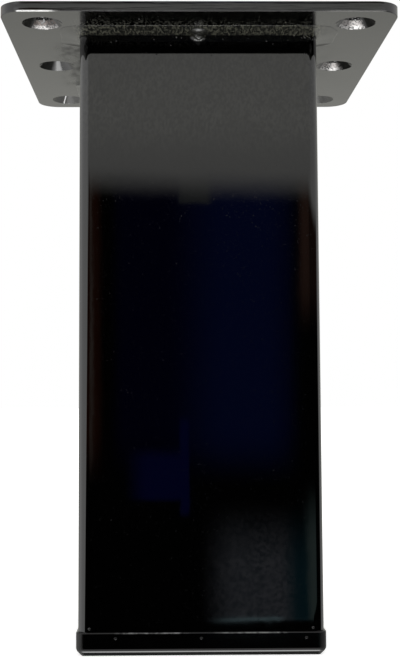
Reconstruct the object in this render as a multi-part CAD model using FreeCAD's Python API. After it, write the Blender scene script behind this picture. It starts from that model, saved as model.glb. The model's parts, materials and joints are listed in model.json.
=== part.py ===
import FreeCAD, Part
import math
import os

# Square furniture leg: a steel tube welded under a screw plate and closed at the floor by a moulded plug.
# Millimetres, Z up, front towards -Y. The origin is on the floor, under the middle of the foot.

# Whole leg, floor to the top of the plate
leg_height = 130.0

# Screw plate, stamped from sheet
plate_side = 80.0
plate_thickness = 2.0
plate_corner_radius = 5.0
plate_edge_radius = 0.15

# Screw holes in a column along each side of the plate, countersunk from below
hole_diameter = 4.6
hole_inset = 8.0
holes_per_column = 3
countersink_diameter = 8.2
countersink_angle = 90.0

# Square tube
tube_side = 50.0
tube_wall = 1.5
tube_inside_radius = 0.75

# Weld beads: low, wide runs on the plate along the front and back of the tube, returning round its corners
bead_front_width = 6.2
bead_side_width = 4.4
bead_return = 9.0
bead_height = 0.4
bead_toe_radius = 5.0
bead_crest_width = 0.8
bead_crest_radius = 1.5
bead_end_slope = 2.0

# Round blob of weld metal at the middle of each bead
blob_radius = 1.9
blob_offset = 2.9

# Foot plug: the lip that shows below the tube
lip_height = 4.7
lip_overhang = 0.35
lip_corner_radius = 1.6
lip_chamfer = 1.15
lip_chamfer_radius = 1.2
lip_top_radius = 0.2
lip_floor_thickness = 2.5

# Foot plug: the hollow part inside the tube, with its gripping ribs
plug_length = 16.0
plug_wall = 2.0
plug_clearance = 0.6
plug_corner_radius = 2.8
plug_lead_in = 0.8
rib_count = 3
rib_height = 2.4
rib_clearance = 0.1

# Sizes that follow from those above
plate_bottom = leg_height - plate_thickness
tube_length = plate_bottom - lip_height
tube_half = tube_side / 2
tube_inside_side = tube_side - 2 * tube_wall
tube_outside_radius = tube_inside_radius + tube_wall
plug_side = tube_inside_side - 2 * plug_clearance
rib_side = tube_inside_side - 2 * rib_clearance
rib_corner_radius = plug_corner_radius + plug_clearance - rib_clearance

up = FreeCAD.Vector(0, 0, 1)
middle = FreeCAD.Vector(0, 0, 0)
same_height = 1e-6


def rounded_outline(x_low, x_high, y_low, y_high, radius, z):
    """A closed rectangle with four rounded corners, lying flat at height z."""
    centres = [
        (x_high - radius, y_high - radius),
        (x_low + radius, y_high - radius),
        (x_low + radius, y_low + radius),
        (x_high - radius, y_low + radius),
    ]
    corners = []
    for quarter, (x, y) in enumerate(centres):
        circle = Part.Circle(FreeCAD.Vector(x, y, z), up, radius)
        start = quarter * math.pi / 2
        corners.append(Part.ArcOfCircle(circle, start, start + math.pi / 2))
    edges = []
    for corner, following in zip(corners, corners[1:] + corners[:1]):
        edges.append(corner.toShape())
        edges.append(Part.makeLine(corner.EndPoint, following.StartPoint))
    return Part.Wire(edges)


def square_outline(side, radius, z):
    """A rounded square about the leg's own axis."""
    half = side / 2
    return rounded_outline(-half, half, -half, half, radius, z)


def prism(outline, height):
    """The solid that an outline sweeps straight up."""
    return Part.Face(outline).extrude(up * height)


def rim(solid, z):
    """The edges of a solid that lie flat at height z."""
    edges = []
    for edge in solid.Edges:
        box = edge.BoundBox
        if abs(box.ZMin - z) < same_height and abs(box.ZMax - z) < same_height:
            edges.append(edge)
    return edges


def hole_places():
    """The middles of the screw holes, column by column."""
    column_x = plate_side / 2 - hole_inset
    pitch = 2 * column_x / (holes_per_column - 1)
    places = []
    for x in (-column_x, column_x):
        for row in range(holes_per_column):
            places.append((x, row * pitch - column_x))
    return places


def make_screw_hole(x, y):
    """The space of one screw: a cone for its head below, and a straight hole above."""
    hole_radius = hole_diameter / 2
    head_radius = countersink_diameter / 2
    head_depth = (head_radius - hole_radius) / math.tan(math.radians(countersink_angle / 2))
    profile = Part.makePolygon([
        FreeCAD.Vector(x, y, plate_bottom),
        FreeCAD.Vector(x + head_radius, y, plate_bottom),
        FreeCAD.Vector(x + hole_radius, y, plate_bottom + head_depth),
        FreeCAD.Vector(x + hole_radius, y, leg_height),
        FreeCAD.Vector(x, y, leg_height),
        FreeCAD.Vector(x, y, plate_bottom),
    ])
    return Part.Face(profile).revolve(FreeCAD.Vector(x, y, 0), up, 360)


def make_mounting_plate():
    """The stamped plate: a rounded square, its lower edge rolled over by the punch, with its screw holes."""
    blank = prism(square_outline(plate_side, plate_corner_radius, plate_bottom), plate_thickness)
    plate = blank.makeFillet(plate_edge_radius, rim(blank, plate_bottom))
    for x, y in hole_places():
        plate = plate.cut(make_screw_hole(x, y))
    return plate


def make_leg_tube():
    """The square tube, from the lip of the foot plug up to the plate."""
    outside = prism(square_outline(tube_side, tube_outside_radius, lip_height), tube_length)
    inside = prism(square_outline(tube_inside_side, tube_inside_radius, lip_height), tube_length)
    return outside.cut(inside)


def make_weld_bead():
    """The front weld: a sloping run from its toe on the plate to its crest by the tube, with the blob on it."""
    crest_half = tube_half + bead_crest_width
    toe_half = tube_half + bead_side_width
    toe_front = -(tube_half + bead_front_width)
    toe_end = -(tube_half - bead_return)
    crest_z = plate_bottom - bead_height
    toe = rounded_outline(-toe_half, toe_half, toe_front, toe_end, bead_toe_radius, plate_bottom)
    crest_end = toe_end - bead_end_slope
    crest = rounded_outline(-crest_half, crest_half, -crest_half, crest_end, bead_crest_radius, crest_z)
    run = Part.makeLoft([toe, crest], True, True)
    blob_middle = FreeCAD.Vector(0, -(tube_half + blob_offset), plate_bottom)
    blob = Part.makeSphere(blob_radius, blob_middle, up, -90, 0, 360)
    tube_space = prism(square_outline(tube_side, tube_outside_radius, lip_height), tube_length)
    return run.fuse(blob).cut(tube_space).removeSplitter()


def make_foot_plug():
    """The moulded plug: a chamfered lip under the tube, and a hollow ribbed plug inside it."""
    lip_side = tube_side + 2 * lip_overhang
    lip = prism(square_outline(lip_side, lip_corner_radius, 0), lip_height)
    lip = lip.makeChamfer(lip_chamfer, rim(lip, 0))
    lip = lip.makeFillet(lip_chamfer_radius, rim(lip, lip_chamfer))
    lip = lip.makeFillet(lip_top_radius, rim(lip, lip_height))
    plug_top = lip_height + plug_length
    plug = prism(square_outline(plug_side, plug_corner_radius, lip_height), plug_length)
    plug = plug.makeChamfer(plug_lead_in, rim(plug, plug_top))
    ribs = []
    rib_pitch = plug_length / (rib_count + 1)
    for number in range(rib_count):
        rib_z = lip_height + (number + 1) * rib_pitch - rib_height / 2
        widest = square_outline(rib_side, rib_corner_radius, rib_z)
        narrowest = square_outline(plug_side, plug_corner_radius, rib_z + rib_height)
        ribs.append(Part.makeLoft([widest, narrowest], True, True))
    hollow_side = plug_side - 2 * plug_wall
    hollow_radius = plug_corner_radius - plug_wall
    hollow_outline = square_outline(hollow_side, hollow_radius, lip_floor_thickness)
    hollow = prism(hollow_outline, plug_top - lip_floor_thickness)
    return lip.fuse([plug] + ribs).cut(hollow).removeSplitter()


weld_bead_front = make_weld_bead()
weld_bead_back = weld_bead_front.copy()
weld_bead_back.rotate(middle, up, 180)

nodes = {
    "mounting_plate": make_mounting_plate(),
    "leg_tube": make_leg_tube(),
    "weld_bead_front": weld_bead_front,
    "weld_bead_back": weld_bead_back,
    "foot_plug": make_foot_plug(),
}
os.makedirs("parts", exist_ok=True)
for name, shape in nodes.items():
    shape.exportStep(f"parts/{name}.step")
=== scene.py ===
import json
import math
import random

import bmesh
import bpy
from mathutils import Matrix, Vector, noise


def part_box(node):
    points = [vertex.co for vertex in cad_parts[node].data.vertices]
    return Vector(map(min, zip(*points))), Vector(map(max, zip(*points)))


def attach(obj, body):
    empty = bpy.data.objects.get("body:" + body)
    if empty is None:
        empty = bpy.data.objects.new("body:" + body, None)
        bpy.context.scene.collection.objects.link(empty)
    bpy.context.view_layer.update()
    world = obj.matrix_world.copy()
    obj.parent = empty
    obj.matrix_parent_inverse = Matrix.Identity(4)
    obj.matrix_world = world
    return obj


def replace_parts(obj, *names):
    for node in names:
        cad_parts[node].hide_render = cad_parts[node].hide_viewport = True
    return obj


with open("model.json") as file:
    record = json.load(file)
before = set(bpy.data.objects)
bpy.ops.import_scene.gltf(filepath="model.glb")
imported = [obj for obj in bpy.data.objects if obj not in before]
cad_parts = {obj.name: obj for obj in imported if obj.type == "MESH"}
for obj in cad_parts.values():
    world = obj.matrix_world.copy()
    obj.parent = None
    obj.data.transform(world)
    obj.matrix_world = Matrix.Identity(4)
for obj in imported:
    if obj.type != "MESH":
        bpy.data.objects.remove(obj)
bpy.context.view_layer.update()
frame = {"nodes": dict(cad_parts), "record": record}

# Everything below is in metres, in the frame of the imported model. Sizes on the leg are millimetres times MM.
MM = 0.001

# Camera, as fitted to the photograph's outlines. Pixels are of a picture 400 wide and 657 high.
PICTURE_WIDTH = 400
PICTURE_HEIGHT = 657
FOCAL_PIXELS = 1200.9
CENTRE_X = 187.3
CENTRE_Y = 296.4
EYE = Vector((-6.09, -271.86, 52.76)) * MM
YAW = math.radians(-0.820)
PITCH = math.radians(4.609)
ROLL = math.radians(-0.243)
SENSOR = 36.0
NEAREST_SEEN = 10 * MM

# Sizes read from the frame
plate_low, plate_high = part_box("mounting_plate")
tube_low, tube_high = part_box("leg_tube")
bead_low, bead_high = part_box("weld_bead_front")
foot_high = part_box("foot_plug")[1]
screws = next(m for m in frame["record"]["mounts"] if m["name"] == "corner_screws")
HOLE_COLUMN = screws["dims"]["spacing_x_mm"] / 2 * MM
PLATE_UNDER = plate_low.z
PLATE_FRONT = plate_low.y
PLATE_HALF = plate_high.x
TUBE_HALF = tube_high.x
TUBE_END = tube_low.z
LIP_HALF = foot_high.y

# Sizes of the tube and the screw holes that the scene follows
TUBE_CORNER = 2.25 * MM
HEAD_RADIUS = 4.1 * MM

# Weld beads: the run, its toe and its ends
BEAD_ROWS = 22
BEAD_HEIGHT = 0.32 * MM
BEAD_TOE_RADIUS = 5.0 * MM
TOE_WIDTH = 0.86
TOE_STEEPNESS = 1.3
TOE_STEEPER = 0.9
TOE_STEEPER_TO_THE_RIGHT = 0.4
SIDE_HOLLOW = 1.7
SIDE_START = TUBE_HALF - 1 * MM
SIDE_BLEND = 2 * MM
SIDE_CALM = 0.9
END_SECTIONS = 4
END_WIDTH = 0.35
END_RIDGE = 0.25 * MM
END_RIDGE_SECTIONS = 2.5
END_RIDGE_STEEPNESS = 3

# Weld beads: their unevenness, as waves per metre and heights
TOE_WAVES = 420
STEEPNESS_WAVES = 130
RIPPLES = 900
RIPPLE_HEIGHT = 0.05 * MM
FINE_RIPPLES = 2300
FINE_RIPPLE_HEIGHT = 0.02 * MM
CREST_WAVES = 320
CREST_WAVE_HEIGHT = 0.14 * MM

# Weld beads: the blob at the middle of each, a dome with a small drop and a wide sag between it and the tube
BLOB_RADIUS = 1.9 * MM
BLOB_OFFSET = 2.9 * MM
COLLAR_HEIGHT = 0.5 * MM
COLLAR_RADIUS = 2.3 * MM
COLLAR_STEEPNESS = 6
DOME_SIZES = (BLOB_RADIUS, BLOB_RADIUS, 1.05 * MM)
DROP_OFFSET = 1.7 * MM
DROP_SIZES = (0.95 * MM, 0.95 * MM, 0.95 * MM)
SAG_OFFSET = 0.35 * MM
SAG_SIZES = (1.85 * MM, 1.0 * MM, 0.95 * MM)
LUMP_UNEVENNESS = 0.03
LUMP_WAVES = 1.5

# Weld spatter on each side of the leg
SPATTER_COUNT = 46
SPATTER_RADIUS = (0.06 * MM, 0.24 * MM)
SPATTER_REACH = (1.0 * MM, 12.0 * MM)
SPATTER_FALL = (0.4 * MM, 5.0 * MM)
SPATTER_ACROSS_TUBE = 0.9
RUN_END_COUNT = 22
RUN_END_PLACE = (0.80 * TUBE_HALF, 0.98 * TUBE_HALF)
RUN_END_FALL = 1.0 * MM
RUN_END_RADIUS = (0.06 * MM, 0.20 * MM)

# Pips on the lip, and paint drops at the foot of the tube
PIP_RADIUS = 0.34 * MM
LIP_PIP_SHAPE = (1.0, 0.25, 0.7)
LIP_PIP_HEIGHT = 3.6 * MM
LIP_PIP_PLACES = (-17.3 * MM, 0.0, 21.2 * MM)
PAINT_DROP_SHAPE = (0.9, 0.5, 0.9)
PAINT_DROP_HEIGHT = 5.45 * MM
PAINT_DROP_PLACES = (-22.6 * MM, 22.6 * MM)


class Nodes:
    """Adds nodes to one tree. A value is a number, a colour or the output of another node."""

    def __init__(self, tree):
        self.tree = tree
        tree.nodes.clear()

    def add(self, kind, inputs=None, **settings):
        node = self.tree.nodes.new(kind)
        for name, value in settings.items():
            setattr(node, name, value)
        for name, value in (inputs or {}).items():
            self.feed(node.inputs[name], value)
        return node

    def feed(self, socket, value):
        if isinstance(value, bpy.types.NodeSocket):
            self.tree.links.new(value, socket)
        else:
            socket.default_value = value

    def math(self, operation, *values):
        node = self.add("ShaderNodeMath", operation=operation)
        for socket, value in zip(node.inputs, values):
            self.feed(socket, value)
        return node.outputs[0]

    def chain(self, operation, values):
        """Values joined one after the other by the same operation."""
        result = values[0]
        for value in values[1:]:
            result = self.math(operation, result, value)
        return result

    def product(self, *values):
        return self.chain("MULTIPLY", values)

    def sum(self, *values):
        return self.chain("ADD", values)

    def largest(self, *values):
        return self.chain("MAXIMUM", values)

    def size(self, value):
        """The value without its sign."""
        return self.math("ABSOLUTE", value)

    def step(self, value, low, high, start=0.0, end=1.0):
        """Goes smoothly from start to end while the value goes from low to high."""
        inputs = {"Value": value, "From Min": low, "From Max": high, "To Min": start, "To Max": end}
        return self.add("ShaderNodeMapRange", inputs, interpolation_type="SMOOTHSTEP").outputs[0]

    def blend(self, share, first, second):
        """The first colour where the share is 0, the second where it is 1."""
        node = self.add("ShaderNodeMix", data_type="RGBA")
        self.feed(node.inputs[0], share)
        self.feed(node.inputs[6], first)
        self.feed(node.inputs[7], second)
        return node.outputs[2]

    def parts(self, vector):
        return self.add("ShaderNodeSeparateXYZ", {"Vector": vector}).outputs

    def distance(self, x, y):
        """The length of the flat vector with these two parts."""
        flat = self.add("ShaderNodeCombineXYZ", {"X": x, "Y": y}).outputs[0]
        return self.add("ShaderNodeVectorMath", {"Vector": flat}, operation="LENGTH").outputs["Value"]

    def place(self, stretch=(1, 1, 1)):
        """The point's place on the leg, stretched along the axes."""
        where = self.add("ShaderNodeTexCoord").outputs["Object"]
        return self.add("ShaderNodeMapping", {"Vector": where, "Scale": stretch}).outputs[0]

    def noise(self, size, detail=2.0, stretch=(1, 1, 1)):
        """Soft noise from 0 to 1 whose spots are about this size."""
        inputs = {"Vector": self.place(stretch), "Scale": 1 / size, "Detail": detail}
        return self.add("ShaderNodeTexNoise", inputs).outputs["Fac"]

    def bump(self, height, strength, depth, normal=None):
        node = self.add("ShaderNodeBump", {"Height": height, "Strength": strength, "Distance": depth})
        if normal:
            self.feed(node.inputs["Normal"], normal)
        return node.outputs[0]

    def surface(self, inputs):
        shader = self.add("ShaderNodeBsdfPrincipled", inputs)
        output = self.add("ShaderNodeOutputMaterial")
        self.feed(output.inputs["Surface"], shader.outputs[0])


def new_material(name):
    material = bpy.data.materials.new(name)
    material.use_nodes = True
    return material, Nodes(material.node_tree)


def grey(level, tint=(1, 1, 1)):
    """A grey of this level in linear light, with a slight tint."""
    return (level * tint[0], level * tint[1], level * tint[2], 1)


# Tube paint

TUBE_BLACK = grey(0.0001)
TUBE_GRAIN = grey(0.0010)
TUBE_SPECK = grey(0.007, (1, 1, 0.95))
TUBE_DUST = grey(0.017, (1, 1, 0.90))
TUBE_IOR = 1.565
SPECK_DULLNESS = 0.2
DUST_LOW_END = (98 * MM, 112 * MM)
DUST_HIGH_END = (124.2 * MM, 123.2 * MM)


def make_tube_paint():
    """Gloss black paint: a fine orange peel, streaks wiped along the tube and mottled dust near the weld."""
    material, nodes = new_material("tube_paint")
    height = nodes.parts(nodes.place())["Z"]
    peel = nodes.noise(size=0.28 * MM)
    waves = nodes.noise(size=6 * MM)
    streaks = nodes.noise(size=1.2 * MM, detail=3, stretch=(1, 1, 0.04))
    normal = nodes.bump(peel, strength=0.04, depth=0.004 * MM)
    normal = nodes.bump(waves, strength=0.2, depth=0.012 * MM, normal=normal)
    normal = nodes.bump(streaks, strength=0.04, depth=0.01 * MM, normal=normal)

    clouds = nodes.noise(size=14 * MM, detail=3)
    specks = nodes.step(nodes.noise(size=0.35 * MM, detail=1), low=0.70, high=0.80)
    gloss = nodes.step(nodes.sum(clouds, streaks), low=0.6, high=1.4, start=0.015, end=0.030)

    grain = nodes.step(nodes.noise(size=0.25 * MM), low=0.45, high=0.75)
    patches = nodes.step(nodes.noise(size=5 * MM), low=0.2, high=0.8, start=0.5, end=1.0)
    mottling = nodes.step(nodes.noise(size=0.42 * MM, detail=3, stretch=(1, 1, 0.6)), low=0.38, high=0.62)
    dusty = nodes.product(nodes.step(height, *DUST_LOW_END), nodes.step(height, *DUST_HIGH_END))
    paint = nodes.blend(grain, TUBE_BLACK, TUBE_GRAIN)
    paint = nodes.blend(nodes.product(patches, mottling, dusty), paint, TUBE_DUST)
    nodes.surface({
        "Base Color": nodes.blend(specks, paint, TUBE_SPECK),
        "Roughness": nodes.sum(gloss, nodes.product(specks, SPECK_DULLNESS)),
        "IOR": TUBE_IOR,
        "Normal": normal,
    })
    return material


# Plate paint. A pair is an edge: where a mark starts, and where it is full.

PLATE_BLACK = grey(0.001)
PLATE_SPECK = grey(0.008, (1, 1, 0.92))
PLATE_SOOT = grey(0.070, (1, 1, 0.84))
HOLE_PAINT = grey(0.014, (1, 1, 0.90))
DULL_HOLE_PAINT = grey(0.055, (1, 1, 0.90))
SHEARED_PAINT = grey(0.012)
METAL_DARK = (0.020, 0.016, 0.015, 1)
METAL_LIGHT = (0.145, 0.130, 0.122, 1)
METAL_BRIGHT = (0.50, 0.495, 0.49, 1)
METAL_RUBBED = (0.40, 0.395, 0.39, 1)
# Painted shade: bare metal made dark deep in the screw holes
METAL_PAINTED_SHADE = grey(0.005)
METAL_FRESH = grey(0.85)
PLATE_IOR = 1.58
BARE_OR_SOOTY_DULLNESS = 0.22
DULL_HOLE_DULLNESS = 0.30
SMUDGE_DULLNESS = 0.40
UPPER_FACE_DULLNESS = 0.28
BRIGHT_HOLES_SHARE = 0.45
GROOVE_HEIGHT = 10.0

# Heights above the plate's underside
UNDERSIDE = (0.10 * MM, 0.05 * MM)
BELOW_UPPER_FACE = (1.99 * MM, 1.97 * MM)
UPPER_FACE = (1.97 * MM, 1.995 * MM)
RUBBED_RIM = (0.75 * MM, 0.35 * MM)
# Painted shade: from this depth in the holes the bare metal turns dark
PAINTED_SHADE_DEPTH = (1.30 * MM, 1.55 * MM)
BURR = (1.45 * MM, 1.95 * MM)
ROLLED_IN = (0.15 * MM, 0.70 * MM)
WORN_HEIGHT = (0.28 * MM, 0.20 * MM)

# Places on the plate
FRONT_ROW = (-0.45 * HOLE_COLUMN, -0.55 * HOLE_COLUMN)
BACK_ROW = (0.45 * HOLE_COLUMN, 0.55 * HOLE_COLUMN)
BEFORE_BACK_ROW = (0.55 * HOLE_COLUMN, 0.45 * HOLE_COLUMN)
RIGHT_SIDE = (0, 1 * MM)
LEFT_SIDE = (0, -1 * MM)
EDGE_FACE = (PLATE_HALF - 0.4 * MM, PLATE_HALF - 0.2 * MM)
ROLLED_END = (-16 * MM, -30 * MM)
ROLLED_LEAST = 0.15
WORN_DEPTH = (PLATE_FRONT + 0.6 * MM, PLATE_FRONT + 0.3 * MM)
WORN_LEFT_INNER = (-27 * MM, -30.6 * MM)
WORN_LEFT_OUTER = (-36.8 * MM, -36.0 * MM)
WORN_RIGHT = (22 * MM, 28 * MM)
WORN_RIGHT_SHARE = 0.25
SOOT_START = (-1 * MM, 0)
SOOT_FADE = (5.0 * MM, 0.5 * MM)
SOOT_LEAST = 0.22
SOOT_ENDS = (TUBE_HALF + 4 * MM, TUBE_HALF - 3 * MM)
SOOT_THIN_CORNER = -0.6 * TUBE_HALF * TUBE_HALF
SOOT_THICK_CORNER = 0.9 * TUBE_HALF * TUBE_HALF
SOOT_THINNEST = 0.6
SMUDGE_REACH = (TUBE_HALF + 9 * MM, TUBE_HALF + 1 * MM)
SMUDGE_ENDS = (24 * MM, 14 * MM)
SMUDGE_SIDES = (-4 * MM, 4 * MM)
SMUDGE_RIGHT_SHARE = 0.3

# Screw holes
RIM_CHIPS = 0.5 * MM
HEAD_EDGE = (HEAD_RADIUS - 0.20 * MM, HEAD_RADIUS - 0.35 * MM)
FLAKED_OUTER_SLOPE = 1.2
FLAKED_INNER_SLOPE = 0.75
FLAKED_EDGE = (0, 0.3 * MM)
SCRATCH_TURN = math.radians(22)
SCRATCH_WIDTH = (0.22 * MM, 0.12 * MM)
SCRATCH_START = (0, 0.5 * MM)


class PlateMarks:
    """Where the plate is worn, dull or sooty, each as a share from 0 to 1 of the point being shaded."""

    def __init__(self, nodes):
        self.nodes = nodes
        self.x, self.y, z = nodes.parts(nodes.place())
        self.x_size = nodes.size(self.x)
        self.y_size = nodes.size(self.y)
        self.above = nodes.math("SUBTRACT", z, PLATE_UNDER)
        row = nodes.product(nodes.math("ROUND", nodes.math("DIVIDE", self.y, HOLE_COLUMN)), HOLE_COLUMN)
        self.outward = nodes.math("SUBTRACT", self.x_size, HOLE_COLUMN)
        self.backward = nodes.math("SUBTRACT", self.y, row)
        self.back_row = nodes.step(self.y, *BACK_ROW)

    def in_hole(self):
        """Inside the head cone of a screw hole, with a chipped rim."""
        nodes = self.nodes
        chips = nodes.product(nodes.noise(size=0.8 * MM, detail=3), RIM_CHIPS)
        rim = nodes.math("SUBTRACT", nodes.distance(self.outward, self.backward), chips)
        return nodes.product(nodes.step(rim, *HEAD_EDGE), nodes.step(self.above, *BELOW_UPPER_FACE))

    def hole_wear(self):
        """Flaked paint on the rear wall of the front holes and of the right middle one."""
        nodes = self.nodes
        front = nodes.step(self.y, *FRONT_ROW)
        right_middle = nodes.product(nodes.step(self.x, *RIGHT_SIDE), nodes.step(self.y, *BEFORE_BACK_ROW))
        outer = nodes.math("SUBTRACT", self.backward, nodes.product(self.outward, FLAKED_OUTER_SLOPE))
        inner = nodes.sum(self.backward, nodes.product(self.outward, FLAKED_INNER_SLOPE))
        sector = nodes.product(nodes.step(outer, *FLAKED_EDGE), nodes.step(inner, *FLAKED_EDGE))
        flakes = nodes.step(nodes.noise(size=0.45 * MM, detail=3), low=0.38, high=0.50)
        return nodes.product(nodes.largest(front, right_middle), sector, flakes)

    def scratch(self):
        """One scratch down the wall of the left back hole."""
        nodes = self.nodes
        across = nodes.math("SUBTRACT", nodes.product(self.outward, math.cos(SCRATCH_TURN)),
                            nodes.product(self.backward, math.sin(SCRATCH_TURN)))
        line = nodes.step(nodes.size(across), *SCRATCH_WIDTH)
        on_left = nodes.step(self.x, *LEFT_SIDE)
        return nodes.product(line, self.back_row, on_left, nodes.step(self.backward, *SCRATCH_START))

    def edge_wear(self):
        """Paint rubbed off the lower front edge: all of it at the left end, a little at the right end."""
        nodes = self.nodes
        edge = nodes.product(nodes.step(self.above, *WORN_HEIGHT), nodes.step(self.y, *WORN_DEPTH))
        left = nodes.product(nodes.step(self.x, *WORN_LEFT_INNER), nodes.step(self.x, *WORN_LEFT_OUTER))
        right = nodes.step(self.x, *WORN_RIGHT, 0.0, WORN_RIGHT_SHARE)
        return nodes.product(edge, nodes.sum(left, right))

    def on_edge_face(self):
        """On the sheared edge faces of the plate."""
        return self.nodes.step(self.nodes.largest(self.x_size, self.y_size), *EDGE_FACE)

    def rolled_edges(self):
        """Height of the edge faces: a burr at the upper edge, the lower edge rolled in at the left end."""
        nodes = self.nodes
        burr = nodes.step(self.above, *BURR)
        at_left = nodes.step(self.x, *ROLLED_END, ROLLED_LEAST, 1.0)
        rolled = nodes.product(nodes.step(self.above, *ROLLED_IN), at_left)
        return nodes.product(self.on_edge_face(), nodes.sum(burr, rolled))

    def soot(self):
        """Weld dust on the plate before and behind the tube, thickest towards one end of each bead."""
        nodes = self.nodes
        from_toe = nodes.sum(self.y_size, bead_low.y)
        fading = nodes.step(from_toe, *SOOT_FADE, SOOT_LEAST, 1.0)
        beside = nodes.product(nodes.step(from_toe, *SOOT_START), fading, nodes.step(self.x_size, *SOOT_ENDS))
        corner = nodes.product(self.x, self.y)
        thick = nodes.step(corner, SOOT_THIN_CORNER, SOOT_THICK_CORNER, SOOT_THINNEST, 1.0)
        specks = nodes.step(nodes.noise(size=0.34 * MM, detail=3, stretch=(1, 0.42, 1)), low=0.49, high=0.60)
        return nodes.product(beside, thick, specks, nodes.step(self.above, *UNDERSIDE))

    def smudges(self):
        """Weld smoke that dulls the plate beside the tube, most of it on the left side."""
        nodes = self.nodes
        near = nodes.product(nodes.step(self.x_size, *SMUDGE_REACH), nodes.step(self.y_size, *SMUDGE_ENDS))
        side = nodes.step(self.x, *SMUDGE_SIDES, 1.0, SMUDGE_RIGHT_SHARE)
        clouds = nodes.noise(size=2.2 * MM, detail=4, stretch=(1, 0.5, 1))
        clouds = nodes.step(clouds, low=0.35, high=0.65, start=0.35, end=1.0)
        return nodes.product(near, side, clouds, nodes.step(self.above, *UNDERSIDE))


def make_plate_paint():
    """The same paint on the plate, worn to metal in some screw holes and along the lower front edge."""
    material, nodes = new_material("plate_paint")
    marks = PlateMarks(nodes)
    in_hole = marks.in_hole()
    scratch = marks.scratch()
    hole_wear = nodes.product(in_hole, nodes.largest(marks.hole_wear(), scratch))
    edge_wear = marks.edge_wear()
    bare = nodes.largest(hole_wear, edge_wear)
    dull = nodes.product(in_hole, marks.back_row)
    soot = marks.soot()

    grooves = nodes.noise(size=0.30 * MM, detail=3, stretch=(1, 1, 0.12))
    bright = nodes.step(marks.x, *RIGHT_SIDE, 0.0, BRIGHT_HOLES_SHARE)
    rubbed_and_painted_highlight = nodes.step(marks.above, *RUBBED_RIM)
    metal = nodes.blend(grooves, METAL_DARK, METAL_LIGHT)
    metal = nodes.blend(nodes.product(bright, grooves), metal, METAL_BRIGHT)
    metal = nodes.blend(nodes.product(rubbed_and_painted_highlight, grooves), metal, METAL_RUBBED)
    # Painted shade deep in the holes
    metal = nodes.blend(nodes.step(marks.above, *PAINTED_SHADE_DEPTH), metal, METAL_PAINTED_SHADE)
    metal = nodes.blend(nodes.largest(edge_wear, scratch), metal, METAL_FRESH)

    specks = nodes.step(nodes.noise(size=0.4 * MM, detail=1), low=0.68, high=0.80)
    streaks = nodes.step(nodes.noise(size=0.5 * MM, detail=3, stretch=(0.06, 0.06, 1)), low=0.40, high=0.62)
    sheared = nodes.product(marks.on_edge_face(), streaks)
    paint = nodes.blend(specks, PLATE_BLACK, PLATE_SPECK)
    paint = nodes.blend(soot, paint, PLATE_SOOT)
    paint = nodes.blend(in_hole, paint, HOLE_PAINT)
    paint = nodes.blend(dull, paint, DULL_HOLE_PAINT)
    paint = nodes.blend(sheared, paint, SHEARED_PAINT)

    gloss = nodes.sum(
        nodes.step(nodes.noise(size=9 * MM, detail=3), low=0.3, high=0.7, start=0.10, end=0.16),
        nodes.product(nodes.largest(bare, soot), BARE_OR_SOOTY_DULLNESS),
        nodes.product(dull, DULL_HOLE_DULLNESS),
        nodes.product(marks.smudges(), SMUDGE_DULLNESS),
        nodes.step(marks.above, *UPPER_FACE, 0.0, UPPER_FACE_DULLNESS),
    )
    height = nodes.sum(nodes.noise(size=1.8 * MM), nodes.product(grooves, hole_wear, GROOVE_HEIGHT))
    normal = nodes.bump(height, strength=0.08, depth=0.02 * MM)
    normal = nodes.bump(sheared, strength=1.0, depth=0.012 * MM, normal=normal)
    normal = nodes.bump(marks.rolled_edges(), strength=1.0, depth=0.036 * MM, normal=normal)
    nodes.surface({
        "Base Color": nodes.blend(bare, paint, metal),
        "Metallic": bare,
        "Roughness": gloss,
        "IOR": PLATE_IOR,
        "Normal": normal,
    })
    return material


# Weld paint

CRUST_DARK = grey(0.001, (1, 1, 0.82))
CRUST_LIGHT = grey(0.014, (1, 1, 0.82))
CRUST_SPECK = grey(0.106, (1, 1, 0.76))
SMOOTH_RUN = grey(0.003)
SMOOTH_BLOB = grey(0.026, (1, 1, 0.84))
WELD_IOR = 1.58
WELD_LEAST_DULLNESS = 0.12
SMOOTH_UNEVENNESS = 0.1
FRONT_RUN = (TUBE_HALF + 1.5 * MM, TUBE_HALF - 0.5 * MM)
OFF_THE_BLOB = (1.6 * MM, 2.4 * MM)
ON_THE_BLOB = (2.6 * MM, 2.0 * MM)
ABOVE_THE_DROPS = (PLATE_UNDER - 0.95 * MM, PLATE_UNDER - 0.65 * MM)


def make_weld_paint():
    """Paint over weld metal: dull and grainy along the front run, smooth on the blob and round the sides."""
    material, nodes = new_material("weld_paint")
    x, y, z = nodes.parts(nodes.place())
    from_blob = nodes.distance(x, nodes.math("SUBTRACT", nodes.size(y), TUBE_HALF + BLOB_OFFSET))
    in_front = nodes.step(nodes.size(x), *FRONT_RUN)
    rough = nodes.product(in_front, nodes.step(from_blob, *OFF_THE_BLOB), nodes.step(z, *ABOVE_THE_DROPS))

    grain = nodes.noise(size=0.22 * MM, detail=4)
    lumps = nodes.noise(size=1.0 * MM, detail=3)
    specks = nodes.step(nodes.noise(size=0.36 * MM, detail=3, stretch=(1, 0.26, 1)), low=0.475, high=0.555)
    crust = nodes.blend(lumps, CRUST_DARK, CRUST_LIGHT)
    crust = nodes.blend(specks, crust, CRUST_SPECK)
    smooth = nodes.blend(nodes.step(from_blob, *ON_THE_BLOB), SMOOTH_RUN, SMOOTH_BLOB)
    dullness = nodes.product(nodes.step(grain, low=0.3, high=0.7, start=0.08, end=0.28), in_front)
    height = nodes.product(nodes.sum(grain, lumps), nodes.sum(rough, SMOOTH_UNEVENNESS))
    nodes.surface({
        "Base Color": nodes.blend(rough, smooth, crust),
        "Roughness": nodes.sum(dullness, WELD_LEAST_DULLNESS),
        "IOR": WELD_IOR,
        "Normal": nodes.bump(height, strength=0.5, depth=0.05 * MM),
    })
    return material


# Foot plastic

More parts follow.
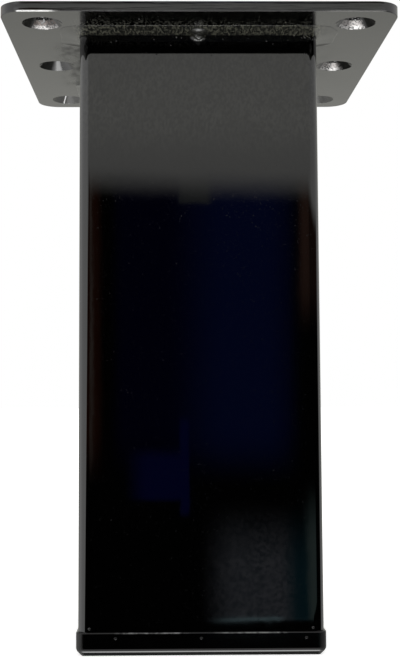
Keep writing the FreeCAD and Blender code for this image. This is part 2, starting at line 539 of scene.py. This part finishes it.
PLASTIC_DARK = grey(0.0002)
PLASTIC_LIGHT = grey(0.0008)
# Painted highlight: lighter grey on the lip's upper edge
PLASTIC_EDGE_HIGHLIGHT = grey(0.16)
PLASTIC_IOR = 1.46
SCUFFED_DULLNESS = 0.5
# Where the painted highlight lies along the lip's upper edge
EDGE_HIGHLIGHT_PLACE = 10 * MM
EDGE_HIGHLIGHT_REACH = (8 * MM, 5 * MM)
LIP_UPPER_EDGE = (TUBE_END - 0.28 * MM, TUBE_END - 0.16 * MM)
LIP_OUTER_EDGE = (TUBE_HALF - 0.1 * MM, TUBE_HALF)
LIP_CORNER = (TUBE_HALF - 1.6 * MM, TUBE_HALF - 0.4 * MM)


def make_foot_plastic():
    """Black moulded plastic with dull corners, and a painted highlight in lighter grey along its upper front
    and back edges, in two places each.
    """
    material, nodes = new_material("foot_plastic")
    x, y, z = nodes.parts(nodes.place())
    x_size = nodes.size(x)
    y_size = nodes.size(y)
    upper_edge = nodes.product(nodes.step(z, *LIP_UPPER_EDGE), nodes.step(y_size, *LIP_OUTER_EDGE))
    along_edge = nodes.step(nodes.size(nodes.math("SUBTRACT", x_size, EDGE_HIGHLIGHT_PLACE)), *EDGE_HIGHLIGHT_REACH)
    patches = nodes.step(nodes.noise(size=1.5 * MM, detail=3), low=0.35, high=0.60)
    # Painted highlight along the lip's upper edge, in patches
    rubbed_and_painted_highlight = nodes.product(along_edge, upper_edge, patches)
    corners = nodes.product(nodes.step(x_size, *LIP_CORNER), nodes.step(y_size, *LIP_CORNER))

    grain = nodes.noise(size=0.25 * MM, detail=3)
    clouds = nodes.noise(size=6 * MM, detail=3)
    gloss = nodes.step(clouds, low=0.3, high=0.7, start=0.05, end=0.08)
    plastic = nodes.blend(clouds, PLASTIC_DARK, PLASTIC_LIGHT)
    nodes.surface({
        "Base Color": nodes.blend(rubbed_and_painted_highlight, plastic, PLASTIC_EDGE_HIGHLIGHT),
        "Roughness": nodes.sum(gloss, nodes.product(corners, SCUFFED_DULLNESS)),
        "IOR": PLASTIC_IOR,
        "Normal": nodes.bump(grain, strength=0.08, depth=0.02 * MM),
    })
    return material


# Pieces that the scene adds

def smooth_mesh(name, skin):
    """Turns a finished skin into a mesh that is shaded smooth."""
    mesh = bpy.data.meshes.new(name)
    skin.to_mesh(mesh)
    skin.free()
    mesh.polygons.foreach_set("use_smooth", [True] * len(mesh.polygons))
    return mesh


def add_piece(name, mesh, material):
    piece = bpy.data.objects.new(name, mesh)
    bpy.context.scene.collection.objects.link(piece)
    piece.data.materials.append(material)
    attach(piece, "root")
    return piece


def bead_line(half, front, end, radius):
    """One edge of the front bead in plan: along the left side, round the front and back along the right."""
    side_steps, corner_steps, front_steps = 30, 14, 220
    left = [Vector((-half, end + (front + radius - end) * i / side_steps)) for i in range(side_steps)]
    corner = []
    for i in range(corner_steps):
        angle = math.pi + math.pi / 2 * i / corner_steps
        x = -half + radius + radius * math.cos(angle)
        corner.append(Vector((x, front + radius + radius * math.sin(angle))))
    across = half - radius
    middle = [Vector((-across + 2 * across * i / front_steps, front)) for i in range(front_steps + 1)]
    right = [Vector((-p.x, p.y)) for p in reversed(left + corner)]
    return left + corner + middle + right


def bead_section(near, far, from_end, blob, seed):
    """One section of the bead, from the tube to its wavering toe. An end is narrower, with a low ridge."""
    fade = min(1.0, from_end / END_SECTIONS) ** 0.5
    waver = 0.5 + 0.5 * noise.noise(Vector((far.x, far.y, seed * MM)) * TOE_WAVES)
    width = (TOE_WIDTH + (1 - TOE_WIDTH) * waver) * (END_WIDTH + (1 - END_WIDTH) * fade)
    steeper = noise.noise(Vector((far.x, far.y, seed + 5)) * STEEPNESS_WAVES)
    steeper += far.x / TUBE_HALF * TOE_STEEPER_TO_THE_RIGHT
    steepness = TOE_STEEPNESS + TOE_STEEPER * max(0.0, steeper)
    ridge = END_RIDGE * math.exp(-(from_end / END_RIDGE_SECTIONS - 1) ** 2)
    section = []
    for j in range(BEAD_ROWS + 1):
        v = j / BEAD_ROWS
        p = near.lerp(far, v * width)
        aside = min(1.0, max(0.0, (abs(p.x) - SIDE_START) / SIDE_BLEND))
        ripple = noise.noise(Vector((p.x, p.y, seed)) * RIPPLES) * RIPPLE_HEIGHT
        ripple += noise.noise(Vector((p.x, p.y, seed + 9)) * FINE_RIPPLES) * FINE_RIPPLE_HEIGHT
        ripple += noise.noise(Vector((p.x, seed, 0)) * CREST_WAVES) * CREST_WAVE_HEIGHT * (1 - v) ** 2
        profile = (1 - aside) * (1 - v ** steepness) + aside * (1 - v) ** SIDE_HOLLOW
        collar = COLLAR_HEIGHT * math.exp(-((p - blob).length / COLLAR_RADIUS) ** 2)
        rise = (BEAD_HEIGHT + ripple * (1 - SIDE_CALM * aside)) * profile * fade
        rise += collar * (1 - v ** COLLAR_STEEPNESS)
        rise += ridge * (1 - v ** END_RIDGE_STEEPNESS)
        section.append((p.x, p.y, PLATE_UNDER - rise))
    return section


def add_lump(skin, middle, half_sizes, seed):
    """Adds a slightly uneven ellipsoid, cut off where it meets the plate and the tube."""
    made = bmesh.ops.create_icosphere(skin, subdivisions=4, radius=1.0)
    for vert in made["verts"]:
        wave = noise.noise(vert.co * LUMP_WAVES + Vector((seed, 0, 0)))
        size = 1 - LUMP_UNEVENNESS + LUMP_UNEVENNESS * wave
        vert.co = Vector([u * half * size for u, half in zip(vert.co, half_sizes)]) + middle
        vert.co.y = min(vert.co.y, -TUBE_HALF)
        vert.co.z = min(vert.co.z, PLATE_UNDER)


def bead_mesh(name, seed):
    """The front bead as a closed skin: a low rippled run, and a blob with its drops at the middle."""
    inner = bead_line(TUBE_HALF, -TUBE_HALF, bead_high.y, TUBE_CORNER)
    outer = bead_line(bead_high.x, bead_low.y, bead_high.y, BEAD_TOE_RADIUS)
    blob = Vector((0, -TUBE_HALF - BLOB_OFFSET))
    last = len(inner) - 1
    skin = bmesh.new()
    grid = []
    for i, (near, far) in enumerate(zip(inner, outer)):
        section = bead_section(near, far, min(i, last - i), blob, seed)
        grid.append([skin.verts.new(point) for point in section])
    for a, b in zip(grid, grid[1:]):
        for j in range(BEAD_ROWS):
            skin.faces.new((a[j], a[j + 1], b[j + 1], b[j]))
    roof = [skin.verts.new((line[0].co.x, line[0].co.y, PLATE_UNDER)) for line in grid]
    for i in range(last):
        skin.faces.new((grid[i][0], grid[i + 1][0], roof[i + 1], roof[i]))
        skin.faces.new((roof[i], roof[i + 1], grid[i + 1][BEAD_ROWS], grid[i][BEAD_ROWS]))
    for i in (0, last):
        skin.faces.new([roof[i]] + grid[i])

    add_lump(skin, Vector((0, blob.y, PLATE_UNDER)), DOME_SIZES, seed)
    lowest = PLATE_UNDER - BLOB_RADIUS
    add_lump(skin, Vector((0, -TUBE_HALF - DROP_OFFSET, lowest + DROP_SIZES[2])), DROP_SIZES, seed + 1)
    add_lump(skin, Vector((0, -TUBE_HALF - SAG_OFFSET, lowest + SAG_SIZES[2])), SAG_SIZES, seed + 2)
    bmesh.ops.recalc_face_normals(skin, faces=skin.faces)
    return smooth_mesh(name, skin)


def add_welds(material):
    """The skins of the two beads. The back one is made like the front one and turned round."""
    front = bead_mesh("weld_front", seed=3)
    back = bead_mesh("weld_back", seed=17)
    back.transform(Matrix.Rotation(math.pi, 4, "Z"))
    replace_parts(add_piece("weld_front", front, material), "weld_bead_front")
    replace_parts(add_piece("weld_back", back, material), "weld_bead_back")


def add_drop(skin, middle, radius):
    """Adds a small drop that sits on the tube or hangs from the plate."""
    made = bmesh.ops.create_icosphere(skin, subdivisions=2, radius=radius)
    bmesh.ops.translate(skin, verts=made["verts"], vec=middle)
    for vert in made["verts"]:
        vert.co.z = min(vert.co.z, PLATE_UNDER)


def add_spatter(material):
    """Small beads of weld metal on plate and tube beside the runs, and more at one end of each run."""
    rng = random.Random(11)
    skin = bmesh.new()
    for side in (-1, 1):
        for number in range(SPATTER_COUNT):
            radius = rng.uniform(*SPATTER_RADIUS)
            x = rng.uniform(-TUBE_HALF, TUBE_HALF)
            if number % 3:
                out = TUBE_HALF + rng.uniform(*SPATTER_REACH)
                middle = Vector((x, side * out, PLATE_UNDER))
            else:
                down = rng.uniform(*SPATTER_FALL)
                middle = Vector((x * SPATTER_ACROSS_TUBE, side * TUBE_HALF, PLATE_UNDER - down))
            add_drop(skin, middle, radius)
        for number in range(RUN_END_COUNT):
            x = -side * rng.uniform(*RUN_END_PLACE)
            down = BEAD_HEIGHT + rng.uniform(0.0, 1.0) ** 2 * RUN_END_FALL
            middle = Vector((x, side * TUBE_HALF, PLATE_UNDER - down))
            add_drop(skin, middle, rng.uniform(*RUN_END_RADIUS))
    add_piece("weld_spatter", smooth_mesh("weld_spatter", skin), material)


def add_pips(name, places, out, height, shape, material):
    """Small flat pips on the front and the back, in a row across the leg."""
    skin = bmesh.new()
    for side in (-1, 1):
        for x in places:
            made = bmesh.ops.create_icosphere(skin, subdivisions=3, radius=PIP_RADIUS)
            bmesh.ops.scale(skin, verts=made["verts"], vec=shape)
            bmesh.ops.translate(skin, verts=made["verts"], vec=(-side * x, side * out, height))
    add_piece(name, smooth_mesh(name, skin), material)


# Room that the gloss paint mirrors

class Zone:
    """A patch of the room: its colour in linear light if it is plain, and the soft edges that it lies within.

    An edge says where the patch starts and where it is full, and may go on with its shares there. Edges
    along x, y and sideways, which is x without its sign, are parts of a direction of length 1. Heights are
    in degrees above the horizon, and sloped ones follow the slightly sloping foot of the hung cloth.
    """

    def __init__(self, colour=None, x=(), y=(), sideways=(), heights=(), sloped=()):
        self.colour = colour
        self.x = x
        self.y = y
        self.sideways = sideways
        self.heights = heights
        self.sloped = sloped


# Pale room all round
ROOM_WHITE = grey(1.0)
TO_THE_FRONT = (-0.8, -0.9)
FAR_WALL = Zone(grey(0.62, (1, 1, 0.93)), y=[(0.2, 0.9)])
FRONT_WALL = Zone(grey(1.0, (1, 1, 0.96)), y=[TO_THE_FRONT])
FRONT_HAZE = Zone(grey(0.84, (1, 1, 0.97)), y=[TO_THE_FRONT], heights=[(13.5, 10.5)])
LEFT_GLOW = Zone(grey(1.55), x=[(-0.25, -0.5)], y=[(0.65, 0.25)], heights=[(17.82, 16.62)])
LOW_GLOW = Zone(grey(7.0), sideways=[(0.62, 0.45)], heights=[(-65.5, -70.5)])
UNDER_REAR = Zone(grey(0.2), y=[(0.04, 0.12)], sideways=[(0.45, 0.30)], heights=[(-48, -62)])
ROOM_ZONES = (FAR_WALL, FRONT_WALL, FRONT_HAZE, LEFT_GLOW, LOW_GLOW, UNDER_REAR)

# Dark screen before the leg: where the room shows over, under and beside it
SCREEN_BLACK = grey(0.002)
SCREEN_LEAN = 0.03
SCREEN_TOP = (9.10, 10.80)
SCREEN_FOOT = (-24, -30)
SCREEN_LEFT_SLOPE = -1.11
SCREEN_LEFT = (-0.45, -0.51)
BEHIND_SCREEN = (0.03, 0.08)

# What is seen on the screen
RAISED = (-4.5, -1.5)
LOW_BLUE = (0.008, 0.012, 0.155, 1)
LOW_BLUE_END = (0.0168, 0.0142)
NAVY = Zone((0.002, 0.002, 0.042, 1), x=[(-0.052, -0.038), (0.108, 0.094)], heights=[RAISED])
BLUE = Zone((0.010, 0.024, 0.155, 1), x=[(-0.005, 0.050), (0.1125, 0.0775)], heights=[RAISED])
FOLD = Zone(x=[(-0.040, -0.018), LOW_BLUE_END], heights=[(-2.4, -3.2), (-5.2, -4.8)])
HEM = Zone(x=[(0.0072, 0.0092), LOW_BLUE_END], heights=[(-0.9, -1.6), (-5.9, -5.5)])
PANE = Zone((0.15, 0.16, 0.17, 1), x=[(0.006, 0.010), (0.036, 0.030)], heights=[(8.95, 9.15)])
BROWN_LEFT = Zone((0.085, 0.022, 0.009, 1), x=[(-0.0545, -0.0615)], heights=[RAISED])
POST = Zone((0.30, 0.25, 0.22, 1), x=[(-0.0674, -0.0662), (-0.0638, -0.0650)], heights=[RAISED])
BROWN_RIGHT = Zone((0.19, 0.100, 0.075, 1), x=[(0.1035, 0.1115), (0.120, 0.112, 0.4, 1.0)],
                   heights=[(2.5, 5.5)])

# Cloth that hangs at the right of the screen
CLOTH_LIGHT = (0.29, 0.30, 0.34, 1)
CLOTH_DARK = (0.11, 0.13, 0.16, 1)
CLOTH_FOLDS = 420.0
CLOTH_DETAIL = 2.0
CLOTH_SLOPE = -0.025
CLOTH_SLOPE_MIDDLE = 0.0853
CLOTH_FOOT = (-10.555, -10.435)
CLOTH_RIGHT_END = (0.72, 0.60)
CLOTH_SIDE = Zone((0.02, 0.09, 0.12, 1), x=[(0.088, 0.1045)])
SILL = Zone((0.55, 0.80, 0.88, 1), x=[(0.022, 0.044), (0.094, 0.082, 0.05, 1.0)], sloped=[(-10.310, -10.385)])
CLOTH = Zone(x=[(0.022, 0.056), CLOTH_RIGHT_END], heights=[(-4.8, -8.6)], sloped=[CLOTH_FOOT])
JAMB = Zone((0.20, 0.28, 0.27, 1), x=[(0.1080, 0.1140), CLOTH_RIGHT_END], heights=[(-3.8, -7.5)],
            sloped=[CLOTH_FOOT])


def sines(edge):
    """The heights of an edge, from degrees to parts of a direction of length 1."""
    return [math.sin(math.radians(degrees)) for degrees in edge]


class Room(Nodes):
    """The nodes of the world, for a direction that is looked in."""

    def __init__(self, tree):
        super().__init__(tree)
        self.towards = self.add("ShaderNodeTexCoord").outputs["Generated"]
        self.x, self.y, self.z = self.parts(self.towards)
        self.sideways = self.size(self.x)
        from_middle = self.math("SUBTRACT", self.x, CLOTH_SLOPE_MIDDLE)
        self.sloped = self.sum(self.z, self.product(from_middle, CLOTH_SLOPE))

    def share(self, zone):
        """How far the direction lies within all the edges of a zone, from 0 to 1."""
        shares = [self.step(self.x, *edge) for edge in zone.x]
        shares += [self.step(self.y, *edge) for edge in zone.y]
        shares += [self.step(self.sideways, *edge) for edge in zone.sideways]
        shares += [self.step(self.z, *sines(edge)) for edge in zone.heights]
        shares += [self.step(self.sloped, *sines(edge)) for edge in zone.sloped]
        return self.product(*shares)

    def paint(self, colour, zones):
        """A colour with zones laid over it, one after the other."""
        for zone in zones:
            colour = self.blend(self.share(zone), colour, zone.colour)
        return colour

    def off_screen(self):
        """The share of the room that shows over, under, beside and behind the screen."""
        leaning = self.sum(self.z, self.product(self.x, SCREEN_LEAN))
        above = self.step(leaning, *sines(SCREEN_TOP))
        below = self.step(self.z, *sines(SCREEN_FOOT))
        left = self.step(self.sum(self.x, self.product(self.z, SCREEN_LEFT_SLOPE)), *SCREEN_LEFT)
        return self.largest(above, below, left, self.step(self.y, *BEHIND_SCREEN))

    def hung_cloth(self):
        """The colour of the cloth: fine folds, darker at its right side, with a pale sill along its foot."""
        inputs = {"Vector": self.towards, "Scale": CLOTH_FOLDS, "Detail": CLOTH_DETAIL}
        folds = self.add("ShaderNodeTexNoise", inputs).outputs["Fac"]
        cloth = self.blend(self.step(folds, low=0.40, high=0.60), CLOTH_LIGHT, CLOTH_DARK)
        return self.paint(cloth, [CLOTH_SIDE, SILL])

    def screen(self):
        """The colour of the dark screen, with what is seen and what hangs on it."""
        colour = self.paint(SCREEN_BLACK, [NAVY, BLUE])
        colour = self.blend(self.largest(self.share(FOLD), self.share(HEM)), colour, LOW_BLUE)
        colour = self.paint(colour, [PANE, BROWN_LEFT, POST, BROWN_RIGHT])
        colour = self.blend(self.share(CLOTH), colour, self.hung_cloth())
        return self.paint(colour, [JAMB])


def make_world():
    """A pale room with a dark screen before the leg, which its gloss faces mirror. The camera sees white."""
    world = bpy.data.worlds.new("studio")
    world.use_nodes = True
    bpy.context.scene.world = world
    room = Room(world.node_tree)
    mirrored = room.blend(room.off_screen(), room.screen(), room.paint(ROOM_WHITE, ROOM_ZONES))
    is_camera = room.add("ShaderNodeLightPath").outputs["Is Camera Ray"]
    colour = room.blend(is_camera, mirrored, ROOM_WHITE)
    background = room.add("ShaderNodeBackground", {"Color": colour, "Strength": 1.0})
    output = room.add("ShaderNodeOutputWorld")
    room.feed(output.inputs["Surface"], background.outputs[0])


# Floor and camera

FLOOR_HALF = 4.0
FLOOR_WHITE = grey(0.8)
FLOOR_LIFT = grey(0.6)


def make_floor():
    """A plain white floor. It shows the leg's shadow, and the gloss paint mirrors the room instead of it."""
    corners = [(x * FLOOR_HALF, y * FLOOR_HALF, 0) for x, y in ((-1, -1), (1, -1), (1, 1), (-1, 1))]
    mesh = bpy.data.meshes.new("floor")
    mesh.from_pydata(corners, [], [(0, 1, 2, 3)])
    floor = bpy.data.objects.new("floor", mesh)
    bpy.context.scene.collection.objects.link(floor)
    floor.visible_glossy = False
    material, nodes = new_material("floor_white")
    diffuse = nodes.add("ShaderNodeBsdfDiffuse", {"Color": FLOOR_WHITE})
    is_camera = nodes.add("ShaderNodeLightPath").outputs["Is Camera Ray"]
    lift = nodes.add("ShaderNodeEmission", {"Color": FLOOR_LIFT, "Strength": is_camera})
    both = nodes.add("ShaderNodeAddShader")
    nodes.feed(both.inputs[0], diffuse.outputs[0])
    nodes.feed(both.inputs[1], lift.outputs[0])
    output = nodes.add("ShaderNodeOutputMaterial")
    nodes.feed(output.inputs["Surface"], both.outputs[0])
    mesh.materials.append(material)


def make_camera():
    data = bpy.data.cameras.new("camera")
    data.sensor_width = SENSOR
    data.lens = FOCAL_PIXELS / PICTURE_HEIGHT * SENSOR
    data.shift_x = (PICTURE_WIDTH / 2 - CENTRE_X) / PICTURE_HEIGHT
    data.shift_y = (CENTRE_Y - PICTURE_HEIGHT / 2) / PICTURE_HEIGHT
    data.clip_start = NEAREST_SEEN
    camera = bpy.data.objects.new("camera", data)
    level = Matrix.Rotation(math.pi / 2, 4, "X")
    turn = Matrix.Rotation(YAW, 4, "Z")
    tip = Matrix.Rotation(PITCH, 4, "X")
    lean = Matrix.Rotation(ROLL, 4, "Z")
    camera.matrix_world = Matrix.Translation(EYE) @ turn @ level @ tip @ lean
    bpy.context.scene.collection.objects.link(camera)
    bpy.context.scene.camera = camera


weld_paint = make_weld_paint()
plate_paint = make_plate_paint()
tube_paint = make_tube_paint()
foot_plastic = make_foot_plastic()
finishes = {"mounting_plate": plate_paint, "leg_tube": tube_paint, "foot_plug": foot_plastic}
for node, material in finishes.items():
    frame["nodes"][node].material_slots[0].material = material
add_welds(weld_paint)
add_spatter(weld_paint)
add_pips("lip_pips", LIP_PIP_PLACES, LIP_HALF, LIP_PIP_HEIGHT, LIP_PIP_SHAPE,
         foot_plastic)
add_pips("paint_drops", PAINT_DROP_PLACES, TUBE_HALF, PAINT_DROP_HEIGHT, PAINT_DROP_SHAPE,
         tube_paint)
make_world()
make_floor()
make_camera()
bpy.context.scene.view_settings.view_transform = "Standard"
